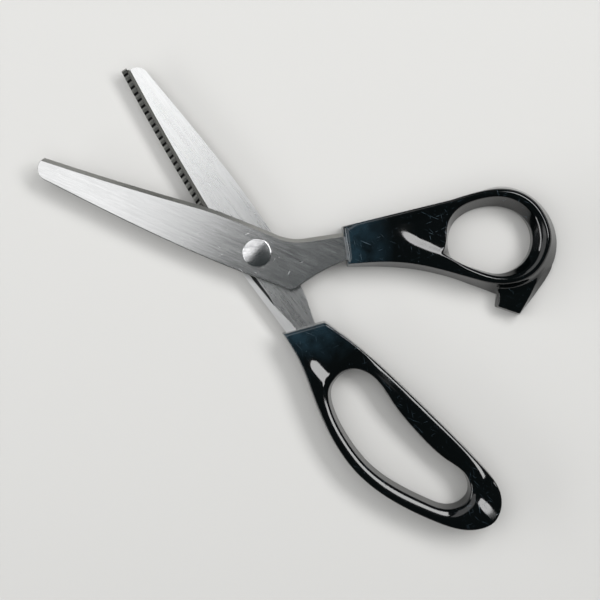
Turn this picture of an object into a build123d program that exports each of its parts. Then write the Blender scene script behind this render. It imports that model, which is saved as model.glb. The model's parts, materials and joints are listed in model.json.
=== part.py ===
from build123d import *

import math
import os

# Pinking shears, lying flat.  Millimetres.  The origin is on the pivot's axis, on the surface that the
# shears lie on; +Z is up, +Y runs from the pivot between the two open blades.
#
# Each half is drawn in its own "half frame", with the shears closed: the pivot at the origin, +X towards
# the cutting edge, +Y towards the blade's tip and +Z outward, away from the other blade.  Z = 0 is the
# shear plane, where the two rows of teeth mesh.  The lower half is the same half turned over.

REST_OPENING = 29.6          # angle between the two blades as the shears lie, degrees
HANDLE_THICKNESS = 13.0
SHEAR_PLANE_Z = HANDLE_THICKNESS / 2

# Blades: pressed steel plate with a toothed strip along the cutting edge.
PLATE_INNER = 1.1            # height of the plate's inner face above the shear plane
PLATE_THICKNESS = 2.0
PLATE_OUTER = PLATE_INNER + PLATE_THICKNESS
EDGE_BEVEL_WIDTH = 1.6       # ground bevel on the outer face, along the cutting edge
EDGE_BEVEL_DEPTH = 1.8
STRIP_SHIFT = (-1.9, -0.9)   # takes the cutting edge to the inner border of the toothed strip
RELIEF_SHIFT = (-3.2, -1.5)  # and to the inner border of the groove beside the strip
RELIEF_DEPTH = 0.45
SPINE_ROUNDING = 0.35

TOOTH_PITCH = 2.85           # distance from tooth to tooth, away from the pivot
TOOTH_HEIGHT = 1.4           # from valley to crest
FIRST_TOOTH_RADIUS = 18.0
TOOTH_CLEARANCE = 0.04       # each half stays this far from the shared tooth surface
STRIP_REACH = 2.0            # deep enough to cut the whole strip
FIELD = 300.0                # a square this wide covers a whole half

UPPER_PLATE_Y = 93.9         # how far the plate and the toothed strip of each blade reach
UPPER_STRIP_Y = 92.9
LOWER_PLATE_Y = 89.3
LOWER_STRIP_Y = 90.6

# Handles: moulded over the tangs.  Each handle has its own axes: +U along the handle, +V away from the
# other handle, with the pivot at the origin.
THUMB_AXIS_ANGLE = -66.2     # direction of +U in the half frame, degrees
FINGER_AXIS_ANGLE = -96.6
HANDLE_ROUNDING = 2.2
COLLAR_ROUNDING = 0.8

# Tangs: the ends of the blades inside the handles, with holes that the plastic fills.
THUMB_TANG_HOLES = [(43.0, 4.2), (57.0, 6.4)]
FINGER_TANG_HOLES = [(41.0, 8.5), (49.0, 10.0)]
TANG_HOLE_RADIUS = 2.4

# Pivot.
SHANK_RADIUS = 3.0
RUNNING_CLEARANCE = 0.05
HEAD_RADIUS = 5.75
HEAD_RIM = 1.0
HEAD_DOME = 0.65
HEAD_ROUNDING = 0.5
SHANK_FLAT = 5.0             # across the two flats that keep the screw from turning in the lower blade
THREAD_RADIUS = 2.5
BEARING_WASHER_RADIUS = 6.4
SPRING_WASHER_RADIUS = 5.0
SPRING_WASHER_BORE = 2.75
SPRING_WASHER_THICKNESS = 0.45
SPRING_WASHER_RISE = 0.3
NUT_ACROSS_FLATS = 8.0
NUT_CHAMFER = 0.4


def along_handle(axis_angle, u, v):
    """A point given along and across a handle, in the half frame."""
    turn = math.radians(axis_angle)
    return (u * math.cos(turn) - v * math.sin(turn), u * math.sin(turn) + v * math.cos(turn))


def prism(face, low, high):
    """A flat outline stretched from one height to another."""
    return Pos(0, 0, low) * extrude(face, high - low)


def upper_half(shape):
    """Moves a shape from the half frame to where the upper half lies."""
    return Pos(0, 0, SHEAR_PLANE_Z) * Rot(0, 0, REST_OPENING / 2) * shape


def lower_half(shape):
    """Moves a shape from the half frame to where the lower half lies."""
    return Pos(0, 0, SHEAR_PLANE_Z) * Rot(0, 180, 0) * Rot(0, 0, REST_OPENING / 2) * shape


def on_lower_blade(shape):
    """Moves a piece of the pivot to its place, turned with the lower half so that the flats meet."""
    return Pos(0, 0, SHEAR_PLANE_Z) * Rot(0, 0, -REST_OPENING / 2) * shape


# ---------------------------------------------------------------- blades

EDGE_TIP_X = 0.4
EDGE_BEND = (8.0, 29.5)      # the cutting edge is one long arc from the tip to here
UPPER_EDGE_BOW = -0.4        # how far the middle of the arc stands out from its chord
LOWER_EDGE_BOW = 0.4
EDGE_SIDE = (9.3, 11.0)
EDGE_END = (9.7, -4.0)
STRIP_END_X = -1.9
SHOULDER_X = -7.7

# Each zone picks the stretch of a blade's border where its strip or its groove runs.
UPPER_STRIP_ZONE = [(-1.9, 99), (40, 99), (50, -60), (12, -22), (3, -5), (3, 20), (-1.9, 80)]
LOWER_STRIP_ZONE = [(-1.9, 99), (40, 99), (40, -46), (7.5, -46), (3, -5), (3, 20), (-1.9, 80)]
UPPER_RELIEF_ZONE = [(-7, 91), (40, 99), (40, -8), (3, -8), (3, 20), (-7, 80)]
LOWER_RELIEF_ZONE = [(-3, 99), (40, 99), (40, -4), (8, -4), (7.2, -21), (7, -21), (5, -4), (3, 20), (-3, 80)]
LOWER_WIDE_LAND = [(12, -4), (8, -4), (7.2, -21), (5.9, -31), (5.4, -60), (12, -60)]


def flat_shape(points):
    """A flat face with straight sides."""
    return make_face(Polyline(*points, close=True))


def cutting_edge(strip_y, bow):
    """The slightly bowed cutting edge and the gentle curve that carries it past the pivot."""
    tip = (EDGE_TIP_X, strip_y)
    middle = ((tip[0] + EDGE_BEND[0]) / 2 + bow, (tip[1] + EDGE_BEND[1]) / 2)
    edge = ThreePointArc(tip, middle, EDGE_BEND)
    return [edge, Spline(EDGE_BEND, EDGE_SIDE, EDGE_END, tangents=[edge % 1, (0, -1)])]


def blade_back(strip_y, plate_y, heel):
    """The back of the blade: from the heel up round the tip, and across the end of the strip."""
    shoulder = (SHOULDER_X, plate_y - 5.5)
    plate_corner = (STRIP_END_X - 0.6, plate_y)
    step = [(STRIP_END_X, strip_y)] if strip_y > plate_y else []
    return [
        Spline(heel, (-9.9, 12.0), (-9.85, 42.0), shoulder),
        ThreePointArc(shoulder, (-6.1, plate_y - 1.3), plate_corner),
        Polyline(plate_corner, *step, (EDGE_TIP_X, strip_y)),
    ]


def upper_outline():
    """The upper blade with its tang: the curves of the cutting side, and all the others."""
    neck = (14.0, -16.9)
    tang_top = along_handle(THUMB_AXIS_ANGLE, 66.0, 12.6)
    tang_bottom = along_handle(THUMB_AXIS_ANGLE, 66.0, 2.0)
    waist = along_handle(THUMB_AXIS_ANGLE, 36.5, -2.8)
    heel_end = (-6.5, -20.2)
    heel = (-8.4, -15.8)
    cutting_side = cutting_edge(UPPER_STRIP_Y, UPPER_EDGE_BOW) + [
        Spline(EDGE_END, (11.1, -11.6), neck, tangents=[(0, -1), (0.56, -0.83)]),
        Line(neck, tang_top),
    ]
    others = [
        Line(tang_top, tang_bottom),
        Line(tang_bottom, waist),
        Spline(waist, (5.4, -28.2), (0.2, -24.3), heel_end),
        ThreePointArc(heel_end, (-8.1, -18.4), heel),
    ]
    return cutting_side, others + blade_back(UPPER_STRIP_Y, UPPER_PLATE_Y, heel)


def lower_outline():
    """The lower blade with its tang: the curves of the cutting side, and all the others."""
    tang_side = (9.6, -52.5)
    tang_end = (0.4, -52.5)
    waist = (-0.4, -41.0)
    heel = (-8.5, -8.0)
    cutting_side = cutting_edge(LOWER_STRIP_Y, LOWER_EDGE_BOW) + [Line(EDGE_END, tang_side)]
    others = [
        Line(tang_side, tang_end),
        Line(tang_end, waist),
        Spline(waist, (-2.2, -34.5), (-4.4, -28.0), (-6.3, -20.5), heel),
    ]
    return cutting_side, others + blade_back(LOWER_STRIP_Y, LOWER_PLATE_Y, heel)


def edge_band(outline, near, far, zone):
    """The band along the cutting side between two copies of the outline, each moved inward."""
    return (Pos(*near) * outline - Pos(*far) * outline) & outline & flat_shape(zone)


def edges_above(solid, curves, height):
    """The solid's edges that lie straight above the given curves, at one height."""
    middles = [Vector((curve @ 0.5).X, (curve @ 0.5).Y, height) for curve in curves]
    return solid.edges().filter_by(lambda edge: min((edge @ 0.5 - m).length for m in middles) < 0.02)


def tooth_cutter(first_rise):
    """Everything beyond the tooth surface: rings of ridges about the pivot, flat near the pivot."""
    half_pitch = TOOTH_PITCH / 2
    count = int((UPPER_PLATE_Y + 6 - FIRST_TOOTH_RADIUS) / half_pitch)
    surface = [(SHANK_RADIUS, TOOTH_CLEARANCE), (FIRST_TOOTH_RADIUS, TOOTH_CLEARANCE)]
    for i in range(count):
        rise = first_rise * (-1) ** i * TOOTH_HEIGHT / 2
        surface.append((FIRST_TOOTH_RADIUS + (i + 0.5) * half_pitch, rise + TOOTH_CLEARANCE))
    surface += [(surface[-1][0], -STRIP_REACH), (SHANK_RADIUS, -STRIP_REACH)]
    return Rot(0, 0, -20) * revolve(Plane.XZ * flat_shape(surface), Axis.Z, 220)


def blade(curves, strip_zone, relief_zone, wide_land, first_rise):
    """One blade in the half frame: a plate with a bevelled, toothed strip along its cutting edge."""
    cutting_side, others = curves
    outline = make_face(cutting_side + others)
    body = prism(outline, -STRIP_REACH / 2, PLATE_OUTER)
    body = chamfer(edges_above(body, cutting_side, PLATE_OUTER), EDGE_BEVEL_DEPTH, EDGE_BEVEL_WIDTH)
    body = fillet(edges_above(body, others[-4:-1], PLATE_OUTER), SPINE_ROUNDING)
    strip = edge_band(outline, (0, 0), STRIP_SHIFT, strip_zone)
    if wide_land:
        strip += outline & flat_shape(wide_land)
    everywhere = Rectangle(FIELD, FIELD)
    body -= prism(everywhere - strip, -STRIP_REACH, PLATE_INNER)
    behind_pivot = Pos(0, -FIELD / 2) * Rectangle(FIELD, FIELD)
    body -= prism(behind_pivot, -STRIP_REACH, TOOTH_CLEARANCE)
    relief = edge_band(outline, STRIP_SHIFT, RELIEF_SHIFT, relief_zone)
    body -= prism(relief, -STRIP_REACH, PLATE_INNER + RELIEF_DEPTH)
    return body - tooth_cutter(first_rise)


def drilled(body, bore, hole_centres, axis_angle):
    """The blade with its pivot bore and the holes in its tang."""
    body -= prism(Circle(bore), -STRIP_REACH, 2 * PLATE_OUTER)
    for u, v in hole_centres:
        x, y = along_handle(axis_angle, u, v)
        body -= prism(Pos(x, y) * Circle(TANG_HOLE_RADIUS), -STRIP_REACH, 2 * PLATE_OUTER)
    return body


def upper_blade():
    body = blade(upper_outline(), UPPER_STRIP_ZONE, UPPER_RELIEF_ZONE, None, 1)
    return drilled(body, SHANK_RADIUS + RUNNING_CLEARANCE, THUMB_TANG_HOLES, THUMB_AXIS_ANGLE)


def lower_blade():
    body = blade(lower_outline(), LOWER_STRIP_ZONE, LOWER_RELIEF_ZONE, LOWER_WIDE_LAND, -1)
    body = drilled(body, SHANK_FLAT / 2, FINGER_TANG_HOLES, FINGER_AXIS_ANGLE)
    return body - prism(flatted_circle(), 0, 2 * PLATE_OUTER)


def flatted_circle():
    """Section of the screw's shank where two flats key it into the lower blade."""
    return Circle(SHANK_RADIUS) & Rectangle(SHANK_FLAT, 4 * SHANK_RADIUS)


# ---------------------------------------------------------------- handles

def thumb_outline():
    """Outline of the thumb handle, with the stop nub at its far end."""
    collar_top = (33.7, 10.6)
    ring_start = (77.0, 21.2)
    nub_tip = (105.4, -25.0)
    nub_corner = (95.6, -21.6)
    nub_root = (96.2, -16.6)
    collar_bottom = (35.9, -5.6)
    back = [ring_start, (86.4, 23.8), (96.6, 26.7), (106.6, 24.9), (113.3, 20.3), (118.3, 13.3),
            (120.5, 4.5), (118.0, -6.8), (112.0, -16.4), nub_tip]
    belly = [nub_root, (84.5, -12.3), (71.8, -8.3), (55.8, -5.8), collar_bottom]
    return make_face([
        Line(collar_top, ring_start),
        Spline(*back),
        Polyline(nub_tip, nub_corner, nub_root),
        Spline(*belly),
        Line(collar_bottom, collar_top),
    ])


def thumb_hole():
    return [(76.6, 4.0), (79.0, 12.2), (84.5, 16.6), (93.0, 18.8), (102.0, 17.4), (108.3, 11.5),
            (109.8, 4.5), (107.6, -2.0), (102.5, -6.6), (95.9, -8.4), (86.5, -6.0), (78.4, -2.2)]


def finger_outline():
    """Outline of the finger handle: a long loop for three or four fingers."""
    collar_inner = (38.3, -1.1)
    collar_outer = (30.1, 14.8)
    loop = [collar_inner, (52.6, -3.7), (75.8, -6.0), (100.0, -7.2), (124.0, -7.6), (137.5, -4.8),
            (143.1, 3.5), (139.6, 13.0), (126.3, 22.1), (110.5, 28.2), (92.0, 31.5), (74.0, 29.2),
            (57.0, 23.3), (43.0, 17.7), collar_outer]
    return make_face([Spline(*loop), Line(collar_outer, collar_inner)])


def finger_hole():
    return [(58.6, 10.5), (60.7, 3.6), (66.5, 0.5), (80.0, 1.6), (97.0, 2.8), (112.0, 1.6),
            (121.6, 0.3), (127.6, 4.2), (127.0, 11.8), (118.0, 18.0), (105.4, 22.6), (92.0, 25.0),
            (78.5, 23.8), (66.5, 20.2), (60.0, 15.4)]


def handle(outline, hole, axis_angle, tang):
    """A handle in the half frame, rounded all round, with the tang's space taken out of it."""
    flat = outline - make_face(Spline(*hole, periodic=True))
    body = prism(flat, -HANDLE_THICKNESS / 2, HANDLE_THICKNESS / 2)
    corners = body.edges().filter_by(Axis.Z).filter_by(lambda e: e.center().X < 40)
    body = fillet(corners, COLLAR_ROUNDING)
    faces = body.faces().filter_by(Axis.Z)
    body = fillet(faces.sort_by(Axis.Z)[0].edges() + faces.sort_by(Axis.Z)[-1].edges(), HANDLE_ROUNDING)
    return Rot(0, 0, axis_angle) * body - tang


# ---------------------------------------------------------------- pivot
#
# The screw, the washers and the nut are drawn with the screw's head up and Z = 0 at the shear plane.

HEAD_UNDERSIDE = PLATE_OUTER + RUNNING_CLEARANCE
NUT_BOTTOM = -SHEAR_PLANE_Z
NUT_TOP = -PLATE_OUTER - SPRING_WASHER_THICKNESS - SPRING_WASHER_RISE


def pivot_screw():
    """Domed head, round shank that the upper blade turns on, two flats, and the threaded end."""
    dome_radius = (HEAD_RADIUS ** 2 + HEAD_DOME ** 2) / (2 * HEAD_DOME)
    rim_top = HEAD_UNDERSIDE + HEAD_RIM
    crown = (0, rim_top + HEAD_DOME)
    half_way = dome_radius * math.sin(math.asin(HEAD_RADIUS / dome_radius) / 2)
    flank = (half_way, crown[1] - dome_radius + math.sqrt(dome_radius ** 2 - half_way ** 2))
    border = [
        Polyline(crown, (0, HEAD_UNDERSIDE), (HEAD_RADIUS, HEAD_UNDERSIDE), (HEAD_RADIUS, rim_top)),
        ThreePointArc((HEAD_RADIUS, rim_top), flank, crown),
    ]
    section = Plane.XZ * make_face(border)
    screw = revolve(section, Axis.Z)
    rim = screw.edges().filter_by(lambda edge: abs(edge.center().Z - rim_top) < 0.01)
    screw = fillet(rim, HEAD_ROUNDING)
    screw += prism(Circle(SHANK_RADIUS), -PLATE_INNER, HEAD_UNDERSIDE)
    screw += prism(flatted_circle(), -PLATE_OUTER, -PLATE_INNER)
    return screw + prism(Circle(THREAD_RADIUS), NUT_BOTTOM, -PLATE_OUTER)


def bearing_washer():
    """Plain washer that holds the two plates apart."""
    ring = Circle(BEARING_WASHER_RADIUS) - Circle(SHANK_RADIUS + RUNNING_CLEARANCE)
    return prism(ring, -PLATE_INNER, PLATE_INNER - RUNNING_CLEARANCE)


def spring_washer():
    """Slightly coned washer under the nut, which keeps the blades pressed together."""
    low = NUT_TOP
    section = flat_shape([
        (SPRING_WASHER_BORE, low),
        (SPRING_WASHER_BORE, low + SPRING_WASHER_THICKNESS),
        (SPRING_WASHER_RADIUS, -PLATE_OUTER),
        (SPRING_WASHER_RADIUS, -PLATE_OUTER - SPRING_WASHER_THICKNESS),
    ])
    return revolve(Plane.XZ * section, Axis.Z)


def pivot_nut():
    """Hexagonal nut, with its corners taken off on the side that the shears lie on."""
    flat = RegularPolygon(NUT_ACROSS_FLATS / 2, 6, major_radius=False) - Circle(THREAD_RADIUS)
    nut = prism(flat, NUT_BOTTOM, NUT_TOP)
    outer_wire = nut.faces().sort_by(Axis.Z)[0].outer_wire()
    return chamfer(outer_wire.edges(), NUT_CHAMFER)


def main():
    os.makedirs("parts", exist_ok=True)
    upper = upper_blade()
    lower = lower_blade()
    pieces = {
        "upper_blade": upper_half(upper),
        "thumb_handle": upper_half(handle(thumb_outline(), thumb_hole(), THUMB_AXIS_ANGLE, upper)),
        "lower_blade": lower_half(lower),
        "finger_handle": lower_half(handle(finger_outline(), finger_hole(), FINGER_AXIS_ANGLE, lower)),
        "pivot_screw": on_lower_blade(pivot_screw()),
        "bearing_washer": on_lower_blade(bearing_washer()),
        "spring_washer": on_lower_blade(spring_washer()),
        "pivot_nut": on_lower_blade(pivot_nut()),
    }
    for name, solid in pieces.items():
        export_step(solid, f"parts/{name}.step")


if __name__ == "__main__":
    main()
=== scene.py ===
import json
import math

import bpy
import numpy as np
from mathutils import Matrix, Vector


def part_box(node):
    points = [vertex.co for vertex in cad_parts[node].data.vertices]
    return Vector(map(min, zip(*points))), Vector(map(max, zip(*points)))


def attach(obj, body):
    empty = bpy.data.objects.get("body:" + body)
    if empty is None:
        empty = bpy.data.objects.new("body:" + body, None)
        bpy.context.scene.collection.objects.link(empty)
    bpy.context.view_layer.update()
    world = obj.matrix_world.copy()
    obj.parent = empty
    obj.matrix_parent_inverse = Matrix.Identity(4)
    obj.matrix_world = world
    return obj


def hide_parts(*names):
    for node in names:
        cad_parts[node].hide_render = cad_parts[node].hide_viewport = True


# Pinking shears.  The blades, the screw, the washers and the nut are the CAD parts with better
# materials.  The two handles are modelled here, as rounded mouldings in place of the plain CAD ones.
# Handle sizes are in millimetres until the mesh is placed; everything else is in metres.

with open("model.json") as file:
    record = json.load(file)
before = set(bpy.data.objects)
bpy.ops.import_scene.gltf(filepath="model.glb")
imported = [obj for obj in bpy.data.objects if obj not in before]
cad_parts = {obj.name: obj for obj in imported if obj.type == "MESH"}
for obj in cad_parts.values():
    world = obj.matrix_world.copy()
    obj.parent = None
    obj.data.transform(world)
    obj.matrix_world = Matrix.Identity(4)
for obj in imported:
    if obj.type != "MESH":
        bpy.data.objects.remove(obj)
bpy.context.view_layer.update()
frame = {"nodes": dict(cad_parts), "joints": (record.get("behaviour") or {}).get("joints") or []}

MM = 0.001
REST_OPENING = 29.6              # angle between the two blades at rest, degrees
SHEAR_PLANE = frame["joints"][0]["pos_m"][2] / MM
HANDLE_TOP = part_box("thumb_handle")[1].z / MM

# ---------------------------------------------------------------- sizes of the handles
#
# Places on a handle are given along it (u, from the pivot) and across it (v, away from the other
# handle).  A pair such as (36, 40) is a stretch over which something gradually begins or ends.

THUMB_AXIS_ANGLE = -66.2         # direction of the thumb handle in its blade's own axes, degrees
FINGER_AXIS_ANGLE = -96.6        # and of the finger handle, in axes that are mirrored afterwards
THUMB_BOX = ((33, -26, 0), (121, 28, HANDLE_TOP))    # two corners of a box that holds the handle
FINGER_BOX = ((29, -9, 0), (144, 32, HANDLE_TOP))

CROWN_TOP = HANDLE_TOP - 0.3     # height of the handles' crests
OVERSHOOT = 1.1                  # a leaning wall goes on to this many times its height
BOTTOM_ROUNDING = 2.2
EDGE_ROUNDING = 0.55             # of the upper face's border
FRONT_ROUNDING = 2.0             # of the same border at the collar
CROWN_DROP = 0.15                # how far the collar's upper face falls towards its border
CROWN_WIDTH = 5.0                # and how wide that fall is

# Thumb handle: border, collar and ring.
THUMB_FRONT_TOP = (33.7, 10.6)
THUMB_FRONT_BOTTOM = (35.9, -5.6)
THUMB_BACK = [(77.0, 21.2), (86.4, 23.8), (96.6, 26.7), (106.6, 24.9), (113.3, 20.3), (118.3, 13.3),
              (120.5, 4.5)]
THUMB_BELLY = [(84.5, -12.3), (71.8, -8.3), (55.8, -5.8), THUMB_FRONT_BOTTOM]
THUMB_FLANK_FOOT = 2.6           # height that the flanks lean in from
THUMB_COLLAR_END = (36, 40)
THUMB_CROWN_END = (66, 80)
THUMB_RING_START = (80, 96)
THUMB_RING_SOFTNESS = 0.7        # how near the ring's border comes to the collar's rounding

# Thumb handle: the shallow dish between collar and ring, with a wall on the other handle's side.
THUMB_WALL_SLOPE = 0.24          # mean slope of the wall
THUMB_WALL_MIDDLE = (63.5, 4.2)  # a point half way down it
THUMB_WALL_RUN = -0.4            # how its middle line runs along the handle
THUMB_WALL_WIDTH = 6.0
THUMB_WALL_NARROWING = 2.0       # how much narrower it is by the hole
THUMB_WALL_NARROWS = (68, 78)
THUMB_DISH_BORDER = (1.2, 5.0)   # inwards from the border of the upper face
THUMB_DISH_START = (52.5, 64.5)
THUMB_DISH_END = (84, 96)

# Thumb handle: the hole, whose narrowest line climbs from one side of it to the other.
THUMB_HOLE_MIDDLE = (93, 5)
THUMB_HOLE_REACH = (17, 14)      # half its length and half its width
THUMB_CLIMB_WAY = (0.8, -0.6)    # the way that the line climbs
THUMB_CLIMB = (-0.6, 0.8)        # where it climbs, as shares of the reach
THUMB_NARROWEST = 2.0            # height of the line where it is lowest
THUMB_NARROWEST_RISE = 6.5       # and how much it climbs
THUMB_RIM_ROUNDING = 0.5
THUMB_RIM_GROWTH = 0.9           # how much rounder the rim is on the ring
THUMB_RIM_GROWS = (77, 84)

# Thumb handle: the square stop nub.
NUB_TIP = (105.4, -25.0)
NUB_CORNER = (95.6, -21.6)
NUB_ROOT = (96.2, -16.6)
NUB_FLANK = [(118.0, -6.8), (112.0, -16.4), NUB_TIP]
NUB_TOP = 6.8
NUB_FOOT = 2.0                   # height that its flanks lean in from
NUB_EDGE_ROUNDING = 0.3
NUB_ROOT_ROUNDING = 2.6          # of the hollow between nub and ring
NUB_BOTTOM = (12, 18)            # across the handle, where the bottom's rounding
NUB_BOTTOM_SHARPNESS = 0.65      # shrinks by this share

# Finger handle: border, collar, ridge and nose.
FINGER_FLANK_FOOT = 3.0          # height that the flanks lean in from
FINGER_FLANK_LEAN = 0.6          # and how far they lean
FINGER_COLLAR_SLANT = 0.52       # the collar's end runs aslant across the handle
FINGER_COLLAR_END = (38, 40)
FINGER_CROWN_END = (46, 62)
FINGER_STEEPEST = 0.72           # the slope that the upper face nears, away from the ridge
FINGER_RIDGE_WIDTH = 3.2         # how gently the upper face turns over the ridge
FINGER_RIM_WIDTH = 1.6           # and over the rim at the hole's near end
FINGER_RIM_END = (55, 66)
FINGER_OUTER_FALL = (56, 68)     # where the face starts to fall outwards too
FINGER_NOSE = (127, 133)
FINGER_NOSE_FLATNESS = 0.8       # how much less the face falls on the nose
FINGER_NOSE_SLOPE = 0.36         # the nose's flat facet falls towards the other handle
FINGER_FACET = (1.2, 5.0)        # the facet's two borders, across the handle
FINGER_FACET_BEND = 0.5          # how gently it bends there

# Finger handle: the dish by the collar, and the hole.
FINGER_DISH_DEPTH = 2.1
FINGER_DISH_START = (40, 50)
FINGER_DISH_END = (62, 84)
FINGER_DISH_BORDER = (10.5, 18.0)    # across the handle
FINGER_HOLE_FOOT = 3.5           # height of the hole's narrowest line
FINGER_HOLE_HEAD = CROWN_TOP - 2.0
FINGER_HOLE_OVERSHOOT = 1.2
FINGER_HOLE_LEAN = 0.3           # how far its wall leans out, on the side of the other handle
FINGER_HOLE_LEAN_GROWTH = 0.9    # and how much further on the outer side
FINGER_HOLE_LEAN_GROWS = (1, 9)
FINGER_RIM_ROUNDING = 0.6

# Meshing.
CELL = 0.45                      # size of the grid's cells
MARGIN = 2 * CELL                # the grid goes this far past the shape
SLOPE_STEP = 0.05                # a slope is measured this far to each side
FLATTEST = 0.05                  # least squared slope that a point is moved by
LONGEST_MOVE = 0.5 * CELL
SURFACE_STEPS = 3                # moves that bring a point onto the surface
TINY = 1e-9                      # stands in for a length of zero
EVENING_ROUNDS = 3

# ---------------------------------------------------------------- colours and grain
#
# A grain is in cells per metre across, along and down: a small number gives a long mark.  A window is
# the part of a pattern, which runs from 0 to 1, that a mark fades in over.

NOISE_ROUGHNESS = 0.55

PLASTIC_BLACK = (0.0007, 0.0012, 0.0013)
# worn haze on the collars, with a painted bluish sheen: a reflection painted into the colour
PLASTIC_HAZE_AND_SHEEN = (0.018, 0.042, 0.06)
PLASTIC_SCRATCH = (0.03, 0.05, 0.065)
PLASTIC_IOR = 1.5
PLASTIC_ROUGHNESS = (0.07, 0.13)
PLASTIC_MARK_ROUGHNESS = 0.3     # added where it is scratched
PLASTIC_RELIEF = 0.000005        # depth of ripples and scratches
COLLAR_WEAR_AND_SHEEN = (0.056, 0.036)     # distances from the pivot where the collars' wear and painted sheen end and are full
SCRATCH_ANGLES = (-8.0, 17.0, -39.0, 62.0)
SCRATCH_SHORTENING = 25.0        # added to the grain along the scratches of each further direction
SCRATCH_GRAIN = (2600.0, 90.0, 300.0)
SCRATCH_THRESHOLD = 0.69
SCRATCH_FADE = 0.05              # width of the window above the threshold
PATCH_GRAIN = 45.0
PATCH_WINDOW = (0.45, 0.62)
SPECK_GRAIN = 1500.0
SPECK_WINDOW = (0.76, 0.80)
SPECK_STRENGTH = 0.6
HAZE_AND_SHEEN_GRAIN = 70.0
HAZE_AND_SHEEN_WINDOW = (0.35, 0.7)
POLISH_GRAIN = 120.0
POLISH_WINDOW = (0.3, 0.7)
RIPPLE_GRAIN = 220.0
RIPPLE_STRENGTH = 0.5

# Blades: the finest layer of the brushing, and the others with their detail.  The last number of each
# layer is its share in the tone.
FINE_BRUSHING = ((1700.0, 260.0, 1700.0), 3.0, 0.25)
COARSE_BRUSHING = [((1800.0, 45.0, 1800.0), 3.0, 0.4), ((420.0, 16.0, 420.0), 3.0, 0.1),
                   ((90.0, 60.0, 90.0), 4.0, 0.25)]
BRUSHING_WINDOW = (0.38, 0.62)
BLADE_GREYS = (0.57, 0.7)        # darkest and lightest grey of the brushing
UPPER_PAINTED_BRIGHTNESS = 0.95               # these greys are multiplied by this: painted light and shade, which makes the lower blade lighter than the upper
LOWER_PAINTED_BRIGHTNESS = 1.1
UPPER_POLISH = 0.18              # least roughness
LOWER_POLISH = 0.255
ARC_GRAIN = (1500.0, 1.6, 1.0)   # across and round the arcs that are rubbed round the pivot
ARC_WINDOW = (0.69, 0.74)
ARC_REACH = (0.024, 0.012)       # distances from the pivot where the arcs end and are strongest
NICKS = [(55.0, (1900.0, 110.0, 1.0), 0.72), (-20.0, (2400.0, 130.0, 1.0), 0.73)]
MARK_GREY = 0.9
UPRIGHT = (0.75, 0.5)            # a face this little turned up or down counts as a wall, which is darkened as painted shade
# painted shade on the blades' side walls
WALL_PAINTED_SHADE = (0.06, 0.06, 0.058)
# painted shade: the ground edge is coloured darker than the rest of the blade
GROUND_PAINTED_SHADE = (0.38, 0.38, 0.365)
GROUND_TILT = (0.93, 0.9)        # how far up the ground edge faces: at most
GROUND_LEAST_TILT = (0.4, 0.5)   # and at least
GROUND_HEIGHT = (0.0011, 0.0013)  # it is above the shear plane by this much
NECK_START = (-0.012, -0.02)     # along the lower blade
# painted shade: the lower blade is darkened along its neck
NECK_PAINTED_SHADE = 0.25
NECK_SHADE_GREY = 0.03
RAISED_HEIGHT = (-0.00105, -0.00095)
TEETH_START = (0.016, 0.018)     # along the lower blade
VALLEY_HEIGHT = (-0.0001, -0.0004)
GROOVE_HEIGHT = (-0.0012, -0.0014)
GROOVE_TILT = (0.4, 0.6)         # the groove's floor faces up by this much
TEETH_COLOUR = (0.42, 0.42, 0.4)
LAND_GREY = 0.68
# painted shadow in the teeth's valleys
VALLEY_SHADOW_GREY = 0.045
NEAR_GROOVE_SHADOW_GREY = 0.05          # painted shadow in the groove, behind the pivot
# painted shadow in the groove, beyond the pivot
GROOVE_SHADOW_COLOUR = (0.13, 0.13, 0.12)
BLADE_ROUGHENING = 0.05          # how much rougher the light streaks are
DULL_ROUGHENING = 0.15           # and the ground, raised and scratched places
BLADE_RELIEF = 0.000002

PIVOT_DARK = (0.4, 0.4, 0.405)
PIVOT_LIGHT = (0.62, 0.62, 0.625)
PIVOT_ROUGHNESS = (0.23, 0.17)
PIVOT_RELIEF = 0.00002
PIVOT_RUB_ANGLE = 35.0
PIVOT_RUB_GRAIN = (900.0, 200.0, 300.0)
PIVOT_CLOUD_GRAIN = 330.0
PIVOT_WINDOW = (0.36, 0.64)

BRASS_DARK = (0.55, 0.38, 0.16)
BRASS_LIGHT = (0.78, 0.6, 0.32)
BRASS_GRAIN = 400.0
BRASS_WINDOW = (0.3, 0.7)
BRASS_ROUGHNESS = (0.25, 0.45)

# ---------------------------------------------------------------- floor, camera and light

VIEW_ANGLE = -51.4               # the picture's right-hand direction in plan, degrees
VIEW_CENTRE = Vector((-0.00407, -0.02516, SHEAR_PLANE * MM))
VIEW_WIDTH = 0.24
CAMERA_DISTANCE = 0.6
CAMERA_NEAR = 0.01
SENSOR = 36.0

# Each light: its place in the view (right, up and above the middle), its width and depth, its power.
LIGHTS = {
    "key": ((0.55, 0.38, 0.8), (0.8, 0.3), 8.0),             # main light, from the upper right
    "overhead": ((-0.224, 0.216, 0.5), (0.6, 0.5), 1.3),     # mirrored in the blades' flat faces
    "side_strip": ((-0.37, -0.05, 0.7), (0.12, 0.5), 0.09),  # a faint narrow light from the left
    "low_fill": ((-1.13, -0.1, 0.37), (1.2, 0.3), 8.5),      # from far left, low over the floor
    "soft_fill": ((0, 0, 1.2), (2.5, 2.5), 18.0),            # wide, to lighten the shadows
}
UNREFLECTED_LIGHT = "soft_fill"
ROOM_COLOUR = (0.8, 0.96, 1, 1)
ROOM_STRENGTH = 0.055
FLOOR_REACH = 3.0
FLOOR_COLOUR = (0.497, 0.492, 0.48, 1)
FLOOR_ROUGHNESS = 0.9
FLOOR_DROP = 0.00005             # keeps the floor just clear of the undersides


# ---------------------------------------------------------------- curves and distances

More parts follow.
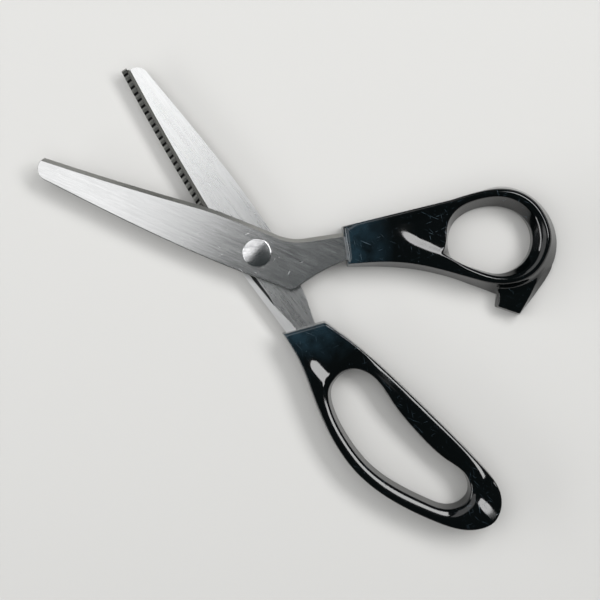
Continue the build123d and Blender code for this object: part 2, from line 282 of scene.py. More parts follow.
def curve_through(points, closed=False, spacing=0.6):
    """Closely spaced points on a smooth curve through the given ones."""
    overlap = 4                  # points repeated beyond each end of a closed curve
    knots = np.array(points, float)
    if closed:
        knots = np.vstack([knots[-overlap:], knots, knots[:overlap]])
    chord = np.linalg.norm(np.diff(knots, axis=0), axis=1)
    slope = np.diff(knots, axis=0) / chord[:, None]
    last = len(chord)
    matrix = np.zeros((last + 1, last + 1))
    wanted = np.zeros((last + 1, 2))
    matrix[0, :2] = (2, 1)
    wanted[0] = 3 * slope[0]
    matrix[last, last - 1:] = (1, 2)
    wanted[last] = 3 * slope[-1]
    for i in range(1, last):
        before = 1 / chord[i - 1]
        after = 1 / chord[i]
        matrix[i, i - 1:i + 2] = (before, 2 * (before + after), after)
        wanted[i] = 3 * (slope[i - 1] * before + slope[i] * after)
    tangent = np.linalg.solve(matrix, wanted)
    spans = range(overlap, last + 1 - overlap) if closed else range(last)
    found = []
    for i in spans:
        t = np.arange(0, 1, 1 / math.ceil(chord[i] / spacing))[:, None]
        found.append(
            (1 + 2 * t) * (1 - t) ** 2 * knots[i] + t ** 2 * (3 - 2 * t) * knots[i + 1]
            + chord[i] * (t * (1 - t) ** 2 * tangent[i] - t ** 2 * (1 - t) * tangent[i + 1])
        )
    if not closed:
        found.append(knots[-1:])
    return np.vstack(found)


def signed_distance(outline, u, v):
    """Distance of each grid point from a closed outline, negative inside."""
    nearest = np.full(u.shape, np.inf)
    inside = np.zeros(u.shape, bool)
    for (au, av), (bu, bv) in zip(outline, np.roll(outline, -1, axis=0)):
        du = bu - au
        dv = bv - av
        if du == dv == 0:
            continue
        along = np.clip(((u - au) * du + (v - av) * dv) / (du * du + dv * dv), 0, 1)
        nearest = np.minimum(nearest, (u - au - along * du) ** 2 + (v - av - along * dv) ** 2)
        if dv:
            inside ^= ((av > v) != (bv > v)) & (u < au + (v - av) * du / dv)
    return np.where(inside, -1, 1) * np.sqrt(nearest)


def ramp(value, start, end):
    """Goes smoothly from 0 at start to 1 at end."""
    t = np.clip((value - start) / (end - start), 0, 1)
    return t * t * (3 - 2 * t)


def climb(h, foot, top, most=OVERSHOOT):
    """How far up a leaning wall a height is: 0 at its foot and below, 1 at its top."""
    return np.clip((h - foot) / (top - foot), 0, most)


def blend(first, second, share):
    """Goes from the first value to the second as the share goes from 0 to 1."""
    return (1 - share) * first + share * second


def soft_positive(value, softness):
    """The value where it is positive and 0 elsewhere, with a rounded bend."""
    return (np.sqrt(value ** 2 + softness ** 2) + value) / 2


def rounded_max(a, b, radius):
    """The larger of two distances, with the edge where they meet rounded to a radius."""
    corner = np.hypot(np.maximum(a + radius, 0), np.maximum(b + radius, 0)) - radius
    return np.where((a > -radius) & (b > -radius), corner, np.maximum(a, b))


def rounded_min(a, b, radius):
    """The smaller of two distances, with the hollow where they meet filled to a radius."""
    return -rounded_max(-a, -b, radius)


# ---------------------------------------------------------------- meshing a rounded shape

class Moulding:
    """A solid given by a function that is negative inside it, over fields drawn in plan."""

    def __init__(self, outlines, shape, box):
        lowest, highest = np.array(box, float)
        self.start = lowest - MARGIN
        counts = np.ceil((highest + MARGIN - self.start) / CELL).astype(int) + 1
        self.axes = [self.start[i] + CELL * np.arange(counts[i]) for i in range(3)]
        u, v = np.meshgrid(self.axes[0], self.axes[1], indexing="ij")
        self.names = list(outlines)
        self.fields = np.stack([signed_distance(outlines[name], u, v) for name in self.names])
        self.shape = shape

    def at(self, points):
        """The shape's value at any points, from the plan fields between their grid points."""
        place = (points[:, :2] - self.start[:2]) / CELL
        size = self.fields.shape[1:]
        cell = np.clip(np.floor(place).astype(int), 0, [size[0] - 2, size[1] - 2])
        f, g = (place - cell).T
        i, j = cell.T
        corner = self.fields
        mixed = (
            corner[:, i, j] * (1 - f) * (1 - g) + corner[:, i + 1, j] * f * (1 - g)
            + corner[:, i, j + 1] * (1 - f) * g + corner[:, i + 1, j + 1] * f * g
        )
        return self.shape(dict(zip(self.names, mixed)), points[:, 0], points[:, 1], points[:, 2])

    def slope(self, points):
        """How fast the shape's value changes along each axis."""
        parts = []
        for step in np.eye(3) * SLOPE_STEP:
            parts.append((self.at(points + step) - self.at(points - step)) / (2 * SLOPE_STEP))
        return np.stack(parts, axis=1)

    def onto_surface(self, points):
        """Moves points along the slope until they lie on the surface."""
        for _ in range(SURFACE_STEPS):
            slope = self.slope(points)
            steepness = np.maximum((slope ** 2).sum(1), FLATTEST)
            move = -self.at(points)[:, None] * slope / steepness[:, None]
            length = np.linalg.norm(move, axis=1, keepdims=True)
            points = points + move * np.minimum(1, LONGEST_MOVE / np.maximum(length, TINY))
        return points

    def on_grid(self):
        """The shape's value at every grid point."""
        u, v, h = self.axes
        plan = {name: field[:, :, None] for name, field in zip(self.names, self.fields)}
        value = self.shape(plan, u[:, None, None], v[None, :, None], h[None, None, :])
        return np.broadcast_to(value, (len(u), len(v), len(h)))

    def mesh(self):
        """Points and four-sided faces of the surface, with a point in each cell that it runs through."""
        value = self.on_grid()
        crossings = [grid_crossings(value, axis) for axis in range(3)]
        cells = tuple(n - 1 for n in value.shape)
        total = np.zeros(cells + (3,))
        count = np.zeros(cells)
        for axis, (cut, share, _) in enumerate(crossings):
            add_crossings(total, count, axis, cut, share)
        used = count > 0
        number = np.full(cells, -1)
        number[used] = np.arange(used.sum())
        quads = []
        for axis, (cut, _, inside) in enumerate(crossings):
            quads.append(faces_across(number, axis, cut, inside))
        quads = np.vstack(quads)
        place = np.argwhere(used) + total[used] / count[used][:, None]
        points = self.onto_surface(self.start + CELL * place)
        for _ in range(EVENING_ROUNDS):
            points = self.onto_surface(evened(points, quads))
        return points, quads


def other_axes(axis):
    """The two axes across this one."""
    return [other for other in range(3) if other != axis]


def grid_crossings(value, axis):
    """The grid edges along an axis that the surface cuts, where it cuts them, and which start inside."""
    near = [slice(None)] * 3
    far = [slice(None)] * 3
    near[axis] = slice(None, -1)
    far[axis] = slice(1, None)
    start = value[tuple(near)]
    end = value[tuple(far)]
    inside = start < 0
    cut = inside != (end < 0)
    share = np.where(cut, start / np.where(cut, start - end, 1), 0)
    return cut, share, inside


def add_crossings(total, count, axis, cut, share):
    """Adds each crossing's place to the four cells round its grid edge."""
    across, deep = other_axes(axis)
    for first in (0, 1):
        for second in (0, 1):
            pick = [slice(None)] * 3
            pick[across] = slice(first, first + count.shape[across])
            pick[deep] = slice(second, second + count.shape[deep])
            here = cut[tuple(pick)]
            count += here
            total[..., axis] += np.where(here, share[tuple(pick)], 0)
            total[..., across] += first * here
            total[..., deep] += second * here


def faces_across(number, axis, cut, inside):
    """A face for each cut grid edge, between the points of the four cells round it."""
    across, deep = other_axes(axis)
    where = np.argwhere(cut)
    corners = []
    for first, second in ((0, 0), (1, 0), (1, 1), (0, 1)):
        cell = where.copy()
        cell[:, across] -= first
        cell[:, deep] -= second
        corners.append(number[tuple(cell.T)])
    quads = np.stack(corners, axis=1)
    flip = inside[cut]
    if axis == 1:
        flip = ~flip
    quads[flip] = quads[flip][:, ::-1]
    return quads


def evened(points, quads):
    """Moves each point half way to the middle of its neighbours."""
    total = np.zeros_like(points)
    count = np.zeros(len(points))
    for i in range(4):
        a = quads[:, i]
        b = quads[:, (i + 1) % 4]
        np.add.at(total, a, points[b])
        np.add.at(total, b, points[a])
        np.add.at(count, a, 1)
        np.add.at(count, b, 1)
    return (points + total / count[:, None]) / 2


# ---------------------------------------------------------------- thumb handle

def thumb_side():
    """Widest outline of the thumb handle, without the stop nub."""
    ring = THUMB_BACK + [(118.6, -5.0), (113.3, -11.8), (105.5, -15.4), NUB_ROOT] + THUMB_BELLY
    return np.vstack([THUMB_FRONT_TOP, curve_through(ring)])


def thumb_crest():
    """Outer border of the thumb handle's upper face."""
    ring = [(77.1, 20.8), (89.1, 24.3), (97.1, 25.2), (105.1, 23.5), (111.1, 19.1), (115.1, 12.3),
            (116.4, 5.7), (114.5, -1.3), (110.0, -7.7), (103.6, -11.2), (94.1, -11.8), (84.5, -9.9),
            (71.8, -6.4), (55.8, -3.8), (36.4, -4.6)]
    return np.vstack([(34.2, 10.3), curve_through(ring)])


def thumb_throat():
    """The thumb hole, where it is narrowest."""
    return curve_through([
        (76.6, 4.0), (79.0, 12.2), (84.5, 16.6), (93.0, 18.8), (102.0, 17.4), (108.3, 11.5),
        (109.8, 4.5), (107.6, -2.0), (102.5, -6.6), (95.9, -8.4), (86.5, -6.0), (78.4, -2.2),
    ], closed=True)


def thumb_mouth():
    """Upper border of the thumb hole, with a sharp corner beside the dish."""
    corner = (73.4, -0.4)
    return curve_through([
        corner, (75.0, 5.0), (75.6, 11.8), (79.8, 17.8), (85.2, 20.6), (90.6, 22.0), (97.0, 22.5),
        (104.0, 20.6), (110.0, 15.9), (113.2, 9.8), (113.8, 4.0), (112.0, -2.6), (107.0, -7.7),
        (101.0, -9.8), (94.0, -9.4), (86.5, -6.9), (78.6, -3.2), corner,
    ])


def nub_side():
    """Outline of the stop nub's flanks."""
    return np.vstack([curve_through(NUB_FLANK), NUB_CORNER, NUB_ROOT, (98.0, -8.0), (110.0, -2.0)])


def nub_face():
    """Outline of the stop nub's flat top."""
    flank = curve_through([(113.6, -6.8), (109.6, -16.0), (105.0, -24.4)])
    return np.vstack([flank, (96.3, -21.4), (96.9, -16.0), (98.0, -8.0), (108.0, -4.0)])


def thumb_whole():
    """Outline of the whole thumb handle, nub included."""
    back = curve_through(THUMB_BACK + NUB_FLANK)
    return np.vstack([THUMB_FRONT_TOP, back, NUB_CORNER, curve_through([NUB_ROOT] + THUMB_BELLY)])


def thumb_dish(crest, u, v):
    """Depth of the dish between the thumb handle's collar and ring."""
    width = THUMB_WALL_WIDTH - THUMB_WALL_NARROWING * ramp(u, *THUMB_WALL_NARROWS)
    past_wall = v - THUMB_WALL_MIDDLE[1] - THUMB_WALL_RUN * (u - THUMB_WALL_MIDDLE[0])
    across = ramp(past_wall, -width / 2, width / 2) * ramp(-crest, *THUMB_DISH_BORDER)
    along = ramp(u, *THUMB_DISH_START) * (1 - ramp(u, *THUMB_DISH_END))
    return THUMB_WALL_SLOPE * width * along * across


def thumb_hole(plan, u, v, h):
    """The hole's wall, which leans out upwards from the hole's narrowest line."""
    throat = plan["throat"]
    mouth = plan["mouth"]
    along = (u - THUMB_HOLE_MIDDLE[0]) / THUMB_HOLE_REACH[0] * THUMB_CLIMB_WAY[0]
    across = (v - THUMB_HOLE_MIDDLE[1]) / THUMB_HOLE_REACH[1] * THUMB_CLIMB_WAY[1]
    narrowest = THUMB_NARROWEST + THUMB_NARROWEST_RISE * ramp(along + across, *THUMB_CLIMB)
    lean = (mouth - throat) / (CROWN_TOP - narrowest)
    return -blend(throat, mouth, climb(h, narrowest, CROWN_TOP)) / np.sqrt(1 + lean ** 2)


def stop_nub(plan, h):
    """The square nub that meets the other handle when the shears are shut."""
    flank = blend(plan["nub_side"], plan["nub_face"], climb(h, NUB_FOOT, NUB_TOP))
    return rounded_max(flank, h - NUB_TOP, NUB_EDGE_ROUNDING)


def thumb_shape(plan, u, v, h):
    """The thumb handle as a value that is negative inside it."""
    crest = plan["crest"]
    flank = blend(plan["side"], crest, climb(h, THUMB_FLANK_FOOT, CROWN_TOP))
    crown = CROWN_DROP * (1 - ramp(-crest, 0, CROWN_WIDTH)) * (1 - ramp(u, *THUMB_CROWN_END))
    top = h - (CROWN_TOP - thumb_dish(crest, u, v) - crown)
    collar = 1 - ramp(u, *THUMB_COLLAR_END)
    softness = np.maximum(collar, THUMB_RING_SOFTNESS * ramp(u, *THUMB_RING_START))
    body = rounded_max(flank, top, blend(EDGE_ROUNDING, FRONT_ROUNDING, softness))
    body = rounded_min(body, stop_nub(plan, h), NUB_ROOT_ROUNDING)
    body = np.maximum(body, plan["whole"])
    rim_rounding = THUMB_RIM_ROUNDING + THUMB_RIM_GROWTH * ramp(u, *THUMB_RIM_GROWS)
    body = rounded_max(body, thumb_hole(plan, u, v, h), rim_rounding)
    sharpness = NUB_BOTTOM_SHARPNESS * ramp(-v, *NUB_BOTTOM)
    return rounded_max(body, -h, BOTTOM_ROUNDING * (1 - sharpness))


# ---------------------------------------------------------------- finger handle

def finger_side():
    """Widest outline of the finger handle."""
    return curve_through([
        (38.3, -1.1), (52.6, -3.7), (75.8, -6.0), (100.0, -7.2), (124.0, -7.6), (137.5, -4.8),
        (143.1, 3.5), (139.6, 13.0), (126.3, 22.1), (110.5, 28.2), (92.0, 31.5), (74.0, 29.2),
        (57.0, 23.3), (43.0, 17.7), (30.1, 14.8),
    ])


def finger_throat():
    """The finger hole, where it is narrowest."""
    return curve_through([
        (58.6, 10.5), (60.7, 3.6), (66.5, 0.5), (80.0, 1.6), (97.0, 2.8), (112.0, 1.6), (121.6, 0.3),
        (127.6, 4.2), (127.0, 11.8), (118.0, 18.0), (105.4, 22.6), (92.0, 25.0), (78.5, 23.8),
        (66.5, 20.2), (60.0, 15.4),
    ], closed=True)


def finger_ridge():
    """The line that the upper face falls away from, to the hole on one side and out on the other."""
    return curve_through([
        (54.3, 10.5), (55.0, 5.0), (57.5, 1.0), (62.5, -1.2), (75.8, -3.0), (100.0, -4.2), (120.0, -4.3),
        (130.5, -0.8), (135.0, 5.2), (134.2, 12.8), (123.2, 21.2), (108.4, 27.0), (92.0, 29.6),
        (75.8, 27.8), (63.6, 23.7), (56.2, 17.4),
    ], closed=True)


def finger_fall(ridge, u, v):
    """How far the upper face has fallen from the ridge's height."""
    width = blend(FINGER_RIM_WIDTH, FINGER_RIDGE_WIDTH, ramp(u, *FINGER_RIM_END))
    fall = FINGER_STEEPEST * (np.hypot(ridge, width) - width)
    fall = fall * np.where(ridge > 0, ramp(u, *FINGER_OUTER_FALL), 1)
    nose = ramp(u, *FINGER_NOSE)
    near_border, far_border = FINGER_FACET
    facet = soft_positive(far_border - v, FINGER_FACET_BEND)
    facet = facet - soft_positive(near_border - v, FINGER_FACET_BEND)
    return fall * (1 - FINGER_NOSE_FLATNESS * nose) + FINGER_NOSE_SLOPE * nose * facet


def finger_dish(u, v):
    """Depth of the dish between the finger handle's collar and its hole."""
    along = ramp(u, *FINGER_DISH_START) * (1 - ramp(u, *FINGER_DISH_END))
    return FINGER_DISH_DEPTH * along * (1 - ramp(v, *FINGER_DISH_BORDER))


def finger_hole(throat, v, h):
    """The hole's wall, which leans out upwards from the hole's narrowest line."""
    lean = FINGER_HOLE_LEAN + FINGER_HOLE_LEAN_GROWTH * ramp(v, *FINGER_HOLE_LEAN_GROWS)
    return lean * climb(h, FINGER_HOLE_FOOT, FINGER_HOLE_HEAD, FINGER_HOLE_OVERSHOOT) - throat


def finger_shape(plan, u, v, h):
    """The finger handle as a value that is negative inside it."""
    side = plan["side"]
    flank = side + FINGER_FLANK_LEAN * climb(h, FINGER_FLANK_FOOT, CROWN_TOP)
    crown = CROWN_DROP * (1 - ramp(-side, 0, CROWN_WIDTH)) * (1 - ramp(u, *FINGER_CROWN_END))
    top = h - (CROWN_TOP - finger_fall(plan["ridge"], u, v) - crown - finger_dish(u, v))
    collar = 1 - ramp(u + FINGER_COLLAR_SLANT * v, *FINGER_COLLAR_END)
    body = rounded_max(flank, top, blend(EDGE_ROUNDING, FRONT_ROUNDING, collar))
    body = rounded_max(body, finger_hole(plan["throat"], v, h), FINGER_RIM_ROUNDING)
    return rounded_max(body, -h, BOTTOM_ROUNDING)


# ---------------------------------------------------------------- the two pieces

def turned(points, angle):
    """The points turned about the pivot's axis by an angle in degrees."""
    turn = math.radians(angle)
    x = points[:, 0] * math.cos(turn) - points[:, 1] * math.sin(turn)
    y = points[:, 0] * math.sin(turn) + points[:, 1] * math.cos(turn)
    return np.stack([x, y, points[:, 2]], axis=1)


def new_piece(name, points, faces, material):
    """A smooth-shaded mesh object; points in millimetres."""
    mesh = bpy.data.meshes.new(name)
    mesh.from_pydata((points * MM).tolist(), [], faces.tolist())
    mesh.validate()
    mesh.update()
    mesh.shade_smooth()
    mesh.materials.append(material)
    piece = bpy.data.objects.new(name, mesh)
    bpy.context.scene.collection.objects.link(piece)
    return piece


def thumb_handle(material):
    """The thumb handle, on the upper blade."""
    outlines = {"side": thumb_side(), "crest": thumb_crest(), "throat": thumb_throat(),
                "mouth": thumb_mouth(), "nub_side": nub_side(), "nub_face": nub_face(),
                "whole": thumb_whole()}
    points, quads = Moulding(outlines, thumb_shape, THUMB_BOX).mesh()
    points = turned(points, THUMB_AXIS_ANGLE + REST_OPENING / 2)
    piece = new_piece("thumb_grip", points, quads, material)
    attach(piece, "upper_half")
    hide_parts("thumb_handle")


def finger_handle(material):
    """The finger handle, on the lower blade; it is worked out mirrored in plan."""
    outlines = {"side": finger_side(), "throat": finger_throat(), "ridge": finger_ridge()}
    points, quads = Moulding(outlines, finger_shape, FINGER_BOX).mesh()
    points = turned(points, FINGER_AXIS_ANGLE + REST_OPENING / 2)
    points[:, 0] *= -1
    piece = new_piece("finger_grip", points, quads[:, ::-1], material)
    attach(piece, "lower_half")
    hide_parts("finger_handle")


# ---------------------------------------------------------------- nodes

def make_node(tree, kind, inputs=None, **settings):
    """Adds a node; an input is either a plain value or another node's output."""
    made = tree.nodes.new("ShaderNode" + kind)
    for name, value in settings.items():
        setattr(made, name, value)
    for name, value in (inputs or {}).items():
        fill_socket(tree, made.inputs[name], value)
    return made


def fill_socket(tree, socket, value):
    """Links another node's output to a socket, or sets the socket to a plain value."""
    if isinstance(value, bpy.types.NodeSocket):
        tree.links.new(value, socket)
    else:
        socket.default_value = value


def new_material(name):
    """A material with its node tree and its shader."""
    material = bpy.data.materials.new(name)
    material.use_nodes = True
    tree = material.node_tree
    return material, tree, tree.nodes["Principled BSDF"]


def object_place(tree):
    """The place on the object, in metres."""
    return make_node(tree, "TexCoord").outputs["Object"]


def link_bump(tree, shader, height, distance):
    """Gives the shader a fine relief, this many metres deep."""
    bump = make_node(tree, "Bump", {"Height": height, "Distance": distance, "Strength": 1.0})
    tree.links.new(bump.outputs["Normal"], shader.inputs["Normal"])


def grey(level):
    """A colour without any hue."""
    return (level, level, level)


def mixed_colour(tree, amount, first, second):
    """A colour between two, by an amount from 0 to 1."""
    mix = make_node(tree, "Mix", {"Factor": amount}, data_type="RGBA")
    for name, colour in (("A", first), ("B", second)):
        socket = [s for s in mix.inputs if s.name == name and s.type == "RGBA"][0]
        if not isinstance(colour, bpy.types.NodeSocket):
            colour = (*colour, 1)
        fill_socket(tree, socket, colour)
    return [s for s in mix.outputs if s.type == "RGBA"][0]


def between(tree, value, low, high, start=0.0, end=1.0):
    """Remaps a value so that low gives start and high gives end, and holds it there beyond them."""
    remap = make_node(tree, "MapRange", {"Value": value, "From Min": low, "From Max": high,
                                         "To Min": start, "To Max": end}, clamp=True)
    return remap.outputs["Result"]


def maths(tree, operation, a, b=0.0):
    """The result of a Math node on two values, each a number or another node's output."""
    made = make_node(tree, "Math", operation=operation)
    for socket, value in zip(made.inputs, (a, b)):
        fill_socket(tree, socket, value)
    return made.outputs[0]


def product(tree, first, *others):
    """Several values multiplied together."""
    for other in others:
        first = maths(tree, "MULTIPLY", first, other)
    return first


def stretched_noise(tree, vector, grain, detail=4.0):
    """Noise with a different number of cells per metre along each axis."""
    scaled = make_node(tree, "VectorMath", operation="MULTIPLY")
    tree.links.new(vector, scaled.inputs[0])
    scaled.inputs[1].default_value = grain
    noise = make_node(tree, "TexNoise", {"Vector": scaled.outputs[0], "Scale": 1.0, "Detail": detail,
                                         "Roughness": NOISE_ROUGHNESS})
    return noise.outputs["Fac"]


def even_noise(tree, vector, grain, detail=4.0):
    """Noise with the same number of cells per metre along every axis."""
    return stretched_noise(tree, vector, (grain, grain, grain), detail)


def turned_vector(tree, vector, angle):
    """The coordinates seen from axes turned by an angle about Z, in degrees."""
    rotate = make_node(tree, "VectorRotate", {"Vector": vector, "Angle": math.radians(-angle)},
                       rotation_type="Z_AXIS")
    return rotate.outputs["Vector"]


def scratches(tree, vector, angle, grain, threshold):
    """Sparse fine lines along one direction, from 0 to 1."""
    line = stretched_noise(tree, turned_vector(tree, vector, angle), grain, detail=2.0)
    return between(tree, line, threshold, threshold + SCRATCH_FADE)


# ---------------------------------------------------------------- plastic

def plastic_marks(tree, place, near_collar):
    """Hairline scratches where the plastic is worn, and a few specks, from 0 to 1."""
    lines = 0.0
    across, along, down = SCRATCH_GRAIN
    for i, angle in enumerate(SCRATCH_ANGLES):
        grain = (across, along + SCRATCH_SHORTENING * i, down)
        found = scratches(tree, place, angle, grain, SCRATCH_THRESHOLD)
        lines = maths(tree, "MAXIMUM", found, lines)
    patches = between(tree, even_noise(tree, place, PATCH_GRAIN), *PATCH_WINDOW)
    worn = product(tree, lines, maths(tree, "MAXIMUM", patches, near_collar))
    specks = between(tree, even_noise(tree, place, SPECK_GRAIN, 1.0), *SPECK_WINDOW)
    return maths(tree, "MAXIMUM", worn, product(tree, specks, SPECK_STRENGTH))


def black_plastic():
    """Glossy black plastic, worn hazy at the collars with a painted bluish sheen there, with hairline
    scratches and a few dull specks.
    """
    material, tree, shader = new_material("black_gloss_plastic")
    place = object_place(tree)
    distance = make_node(tree, "VectorMath", {"Vector": place}, operation="LENGTH").outputs["Value"]
    near_collar = between(tree, distance, *COLLAR_WEAR_AND_SHEEN)
    marks = plastic_marks(tree, place, near_collar)
    # worn haze with a painted bluish sheen near the collars
    clouded = between(tree, even_noise(tree, place, HAZE_AND_SHEEN_GRAIN), *HAZE_AND_SHEEN_WINDOW)
    haze_and_sheen = product(tree, near_collar, clouded)
    colour = mixed_colour(tree, haze_and_sheen, PLASTIC_BLACK, PLASTIC_HAZE_AND_SHEEN)
    colour = mixed_colour(tree, marks, colour, PLASTIC_SCRATCH)
    tree.links.new(colour, shader.inputs["Base Color"])
    polish = even_noise(tree, place, POLISH_GRAIN)
    rough = between(tree, polish, *POLISH_WINDOW, *PLASTIC_ROUGHNESS)
    rough = maths(tree, "ADD", rough, product(tree, marks, PLASTIC_MARK_ROUGHNESS))
    tree.links.new(rough, shader.inputs["Roughness"])
    ripple = product(tree, even_noise(tree, place, RIPPLE_GRAIN, 2.0), RIPPLE_STRENGTH)
    link_bump(tree, shader, maths(tree, "SUBTRACT", ripple, marks), PLASTIC_RELIEF)
    shader.inputs["IOR"].default_value = PLASTIC_IOR
    return material


# ---------------------------------------------------------------- metals

def brushing(tree, along):
    """The finest grain of a brushed blade, and the tone that all its layers give together."""
    grain, detail, share = FINE_BRUSHING
    fine = stretched_noise(tree, along, grain, detail)
    tone = product(tree, fine, share)
    for grain, detail, share in COARSE_BRUSHING:
        layer = stretched_noise(tree, along, grain, detail)
        tone = maths(tree, "ADD", tone, product(tree, layer, share))
    return fine, between(tree, tone, *BRUSHING_WINDOW)


def blade_marks(tree, along, split):
    """Arcs rubbed round the pivot and scattered nicks, from 0 to 1."""
    square = maths(tree, "ADD", product(tree, split["X"], split["X"]), product(tree, split["Y"], split["Y"]))
    radius = maths(tree, "SQRT", square)
    bearing = maths(tree, "ARCTAN2", split["Y"], split["X"])
    polar = make_node(tree, "CombineXYZ", {"X": radius, "Y": bearing}).outputs["Vector"]
    arcs = between(tree, stretched_noise(tree, polar, ARC_GRAIN, 2.0), *ARC_WINDOW)
    marks = product(tree, arcs, between(tree, radius, *ARC_REACH))
    for angle, grain, threshold in NICKS:
        marks = maths(tree, "MAXIMUM", marks, scratches(tree, along, angle, grain, threshold))
    return marks


def outer_face(tree, colour, up, height):
    """Colours the blade's ground edge a darker grey as painted shade, and also gives where it is dull."""
    ground = product(tree, between(tree, up, *GROUND_TILT), between(tree, height, *GROUND_HEIGHT),
                     between(tree, up, *GROUND_LEAST_TILT))
    return mixed_colour(tree, ground, colour, GROUND_PAINTED_SHADE), ground


def inner_face(tree, colour, split, up, height):
    """Colours the blade's neck, teeth, land and groove, with painted shade on the neck and painted shadow in
    the teeth's valleys and the groove, and also gives where it is dull.
    """
    # painted shade on the neck
    neck_shade = between(tree, split["Y"], *NECK_START, 0.0, NECK_PAINTED_SHADE)
    raised = between(tree, height, *RAISED_HEIGHT)
    beyond_pivot = between(tree, split["Y"], *TEETH_START)
    teeth = product(tree, raised, beyond_pivot)
    land = product(tree, raised, between(tree, beyond_pivot, 1.0, 0.0))
    groove = product(tree, between(tree, height, *GROOVE_HEIGHT), between(tree, up, *GROOVE_TILT))
    # painted shadow in the groove
    groove_shadow_colour = mixed_colour(tree, beyond_pivot, grey(NEAR_GROOVE_SHADOW_GREY), GROOVE_SHADOW_COLOUR)
    # painted shadow in the valleys between the teeth
    valley_shadow = product(tree, between(tree, height, *VALLEY_HEIGHT), teeth)
    colour = mixed_colour(tree, neck_shade, colour, grey(NECK_SHADE_GREY))
    colour = mixed_colour(tree, teeth, colour, TEETH_COLOUR)
    colour = mixed_colour(tree, land, colour, grey(LAND_GREY))
    colour = mixed_colour(tree, groove, colour, groove_shadow_colour)
    colour = mixed_colour(tree, valley_shadow, colour, grey(VALLEY_SHADOW_GREY))
    return colour, maths(tree, "MAXIMUM", raised, groove)


def blade_steel(name, turn, outer_up, polish, painted_brightness):
    """Steel brushed along a blade that is turned by an angle and shows its outer or its inner face."""
    material, tree, shader = new_material(name)
    shader.inputs["Metallic"].default_value = 1
    along = turned_vector(tree, object_place(tree), turn)
    split = make_node(tree, "SeparateXYZ", {"Vector": along}).outputs
    normal = make_node(tree, "NewGeometry").outputs["Normal"]
    up = make_node(tree, "SeparateXYZ", {"Vector": normal}).outputs["Z"]
    height = maths(tree, "SUBTRACT", split["Z"], SHEAR_PLANE * MM)
    fine, tone = brushing(tree, along)
    marks = blade_marks(tree, along, split)
    darkest, lightest = BLADE_GREYS
    # painted light and shade: each blade's greys are scaled up or down
    colour = mixed_colour(tree, tone, grey(darkest * painted_brightness), grey(lightest * painted_brightness))
    colour = mixed_colour(tree, marks, colour, grey(MARK_GREY))
    # painted shade: the blades' side walls are darkened
    wall_shade = between(tree, maths(tree, "ABSOLUTE", up), *UPRIGHT)
    colour = mixed_colour(tree, wall_shade, colour, WALL_PAINTED_SHADE)
    if outer_up:
        colour, dull = outer_face(tree, colour, up, height)
    else:
        colour, dull = inner_face(tree, colour, split, up, height)
    tree.links.new(colour, shader.inputs["Base Color"])
    rough = between(tree, tone, 0.0, 1.0, polish, polish + BLADE_ROUGHENING)
    duller = product(tree, maths(tree, "MAXIMUM", dull, marks), DULL_ROUGHENING)
    tree.links.new(maths(tree, "ADD", rough, duller), shader.inputs["Roughness"])
    link_bump(tree, shader, maths(tree, "SUBTRACT", fine, marks), BLADE_RELIEF)
    return material


def polished_steel():
    """The screw, the nut and the spring washer: satin steel, rubbed in patches."""
    material, tree, shader = new_material("polished_pivot_steel")
    shader.inputs["Metallic"].default_value = 1
    place = object_place(tree)
    rubbed = stretched_noise(tree, turned_vector(tree, place, PIVOT_RUB_ANGLE), PIVOT_RUB_GRAIN)
    cloud = even_noise(tree, place, PIVOT_CLOUD_GRAIN, 3.0)
    both = maths(tree, "ADD", product(tree, rubbed, 0.5), product(tree, cloud, 0.5))
    patches = between(tree, both, *PIVOT_WINDOW)
    tree.links.new(mixed_colour(tree, patches, PIVOT_DARK, PIVOT_LIGHT), shader.inputs["Base Color"])
    tree.links.new(between(tree, patches, 0.0, 1.0, *PIVOT_ROUGHNESS), shader.inputs["Roughness"])
    link_bump(tree, shader, patches, PIVOT_RELIEF)
    return material


def brass():
    """The bearing washer: plain brass, tarnished in clouds."""
    material, tree, shader = new_material("plain_brass")
    shader.inputs["Metallic"].default_value = 1
    cloud = even_noise(tree, object_place(tree), BRASS_GRAIN)
    tree.links.new(mixed_colour(tree, cloud, BRASS_DARK, BRASS_LIGHT), shader.inputs["Base Color"])
    tree.links.new(between(tree, cloud, *BRASS_WINDOW, *BRASS_ROUGHNESS), shader.inputs["Roughness"])
    return material


def dress_cad_nodes():
    """Gives each CAD part that is kept its material."""
    pivot_steel = polished_steel()
    finishes = {
        "upper_blade": blade_steel("upper_blade_steel", REST_OPENING / 2, True, UPPER_POLISH, UPPER_PAINTED_BRIGHTNESS),
        "lower_blade": blade_steel("lower_blade_steel", -REST_OPENING / 2, False, LOWER_POLISH, LOWER_PAINTED_BRIGHTNESS),
        "pivot_screw": pivot_steel,
        "pivot_nut": pivot_steel,
        "spring_washer": pivot_steel,
        "bearing_washer": brass(),
    }
    for name, material in finishes.items():
        mesh = frame["nodes"][name].data
        mesh.materials.clear()
        mesh.materials.append(material)


# ---------------------------------------------------------------- the setting

def in_view(right, up, height):
    """A point given along the picture's right and up, in metres from the picture's centre."""
    turn = math.radians(VIEW_ANGLE)
    x = right * math.cos(turn) - up * math.sin(turn)
    y = right * math.sin(turn) + up * math.cos(turn)
    return VIEW_CENTRE + Vector((x, y, height))


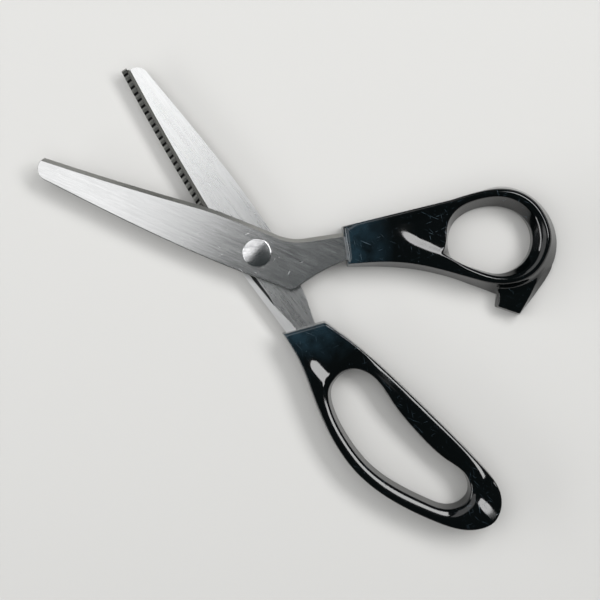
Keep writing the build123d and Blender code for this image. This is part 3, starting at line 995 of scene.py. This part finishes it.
def add_camera():
    """The camera looks straight down on the shears."""
    data = bpy.data.cameras.new("camera")
    data.sensor_width = SENSOR
    data.lens = SENSOR * CAMERA_DISTANCE / VIEW_WIDTH
    data.clip_start = CAMERA_NEAR
    camera = bpy.data.objects.new("camera", data)
    camera.location = in_view(0, 0, CAMERA_DISTANCE)
    camera.rotation_euler = (0, 0, math.radians(VIEW_ANGLE))
    bpy.context.scene.collection.objects.link(camera)
    bpy.context.scene.camera = camera


def add_light(name, place, size, power):
    """A rectangular light that faces the middle of the view."""
    data = bpy.data.lights.new(name, "AREA")
    data.shape = "RECTANGLE"
    data.size, data.size_y = size
    data.energy = power
    light = bpy.data.objects.new(name, data)
    light.location = in_view(*place)
    aim = VIEW_CENTRE - light.location
    light.rotation_euler = aim.to_track_quat("-Z", "Y").to_euler()
    light.visible_glossy = name != UNREFLECTED_LIGHT
    bpy.context.scene.collection.objects.link(light)


def add_world():
    """A dim bluish room, with plain colours in the picture."""
    world = bpy.data.worlds.new("room")
    world.use_nodes = True
    background = world.node_tree.nodes["Background"].inputs
    background["Color"].default_value = ROOM_COLOUR
    background["Strength"].default_value = ROOM_STRENGTH
    bpy.context.scene.world = world
    bpy.context.scene.view_settings.view_transform = "Standard"


def add_floor():
    """The pale surface that the shears lie on."""
    near, far = -FLOOR_REACH, FLOOR_REACH
    mesh = bpy.data.meshes.new("floor")
    mesh.from_pydata([(near, near, 0), (far, near, 0), (far, far, 0), (near, far, 0)], [], [(0, 1, 2, 3)])
    material, _, shader = new_material("pale_floor")
    shader.inputs["Base Color"].default_value = FLOOR_COLOUR
    shader.inputs["Roughness"].default_value = FLOOR_ROUGHNESS
    mesh.materials.append(material)
    floor = bpy.data.objects.new("floor", mesh)
    floor.location.z = -FLOOR_DROP
    bpy.context.scene.collection.objects.link(floor)


add_camera()
for light_name, light_values in LIGHTS.items():
    add_light(light_name, *light_values)
add_world()
add_floor()
dress_cad_nodes()
plastic = black_plastic()
thumb_handle(plastic)
finger_handle(plastic)
